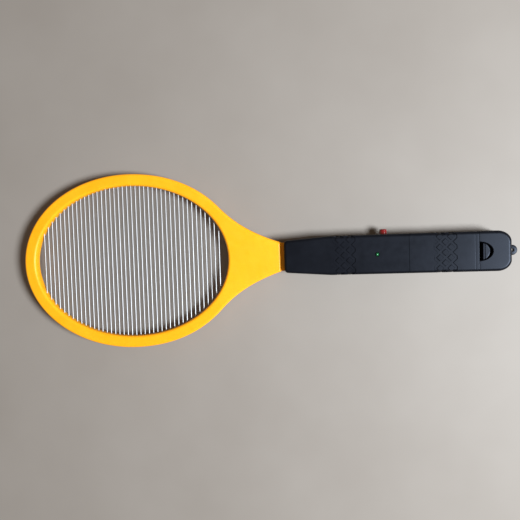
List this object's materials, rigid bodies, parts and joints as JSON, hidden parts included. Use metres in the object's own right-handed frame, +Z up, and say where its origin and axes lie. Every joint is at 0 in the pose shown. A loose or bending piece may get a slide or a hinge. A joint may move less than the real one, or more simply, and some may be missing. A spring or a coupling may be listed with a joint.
{
  "type": "electric fly swatter",
  "caption": "Hand-held electric insect racket: oval yellow head strung with parallel steel electrode wires, flared neck and dark battery handle with a side push button.",
  "frame": {"origin": "on the surface that the handle lies on, under the middle of the overall length, on the long axis", "axes": "+X along the length from the head towards the handle, +Y towards the side with the push button, +Z up out of the front face"},
  "size_m": [0.4444, 0.1588, 0.0225],
  "materials": {
    "yellow_plastic": "moulded ABS, satin gloss",
    "dark_plastic": "moulded ABS, fine satin",
    "red_plastic": "polished",
    "green_lens": "clear tinted epoxy",
    "electrode_steel": "bright drawn wire",
    "zinc_screw": "zinc plated",
    "contact_nickel": "nickel plated spring steel",
    "copper_winding": "enamelled copper wire",
    "board_laminate": "phenolic board",
    "cell_jacket": "printed film over a metal can",
    "black_plastic": "moulded",
    "ferrite": "sintered, dull",
    "film_case": "dipped",
    "ceramic_blue": "dipped",
    "resistor_body": "lacquered",
    "red_insulation": "flexible sheath",
    "black_insulation": "flexible sheath",
    "white_insulation": "flexible sheath"
  },
  "bodies": {
    "swatter": {"frame_rear": "yellow_plastic", "frame_front": "yellow_plastic", "electrode_comb_1": "electrode_steel", "electrode_comb_2": "electrode_steel", "frame_screw_1": "zinc_screw", "frame_screw_2": "zinc_screw", "frame_screw_3": "zinc_screw", "frame_screw_4": "zinc_screw", "frame_screw_5": "zinc_screw", "frame_screw_6": "zinc_screw", "frame_screw_7": "zinc_screw", "handle_rear_shell": "dark_plastic", "handle_front_shell": "dark_plastic", "handle_screw_1": "zinc_screw", "handle_screw_2": "zinc_screw", "handle_screw_3": "zinc_screw", "battery_1": "cell_jacket", "battery_2": "cell_jacket", "contact_positive": "contact_nickel", "contact_negative": "contact_nickel", "contact_bridge": "contact_nickel", "circuit_board": "board_laminate", "transformer_core": "ferrite", "transformer_winding": "copper_winding", "output_capacitor": "film_case", "multiplier_capacitor_1": "ceramic_blue", "multiplier_capacitor_2": "ceramic_blue", "diode_1": "black_plastic", "diode_2": "black_plastic", "diode_3": "black_plastic", "led_resistor": "resistor_body", "bleed_resistor": "resistor_body", "oscillator_transistor": "black_plastic", "status_led": "green_lens", "battery_lead_positive": "red_insulation", "battery_lead_negative": "black_insulation", "high_voltage_lead_1": "white_insulation", "high_voltage_lead_2": "white_insulation", "switch_body": "black_plastic", "button_spring": "contact_nickel"},
    "button": {"button_cap": "red_plastic", "switch_plunger": "black_plastic"},
    "battery_cover": {"battery_cover": "dark_plastic"},
    "cover_latch": {"cover_latch": "dark_plastic"}
  },
  "joints": [
    {"name": "button_press", "type": "slide", "parent": "swatter", "child": "button", "axis": [0, -1, 0], "range_m": [0, 0.0015], "stiffness_N_per_m": 800, "springref_m": -0.001, "deforming": ["button_spring"]},
    {"name": "battery_cover_open", "type": "hinge", "parent": "swatter", "child": "battery_cover", "pos_m": [0.12755, 0, 0.022], "axis": [0, -1, 0], "range_deg": [0, 60]},
    {"name": "cover_latch_flex", "type": "hinge", "parent": "battery_cover", "child": "cover_latch", "pos_m": [0.1879, 0, 0.0118], "axis": [0, -1, 0], "range_deg": [0, 8], "stiffness_Nm_per_rad": 0.2}
  ]
}
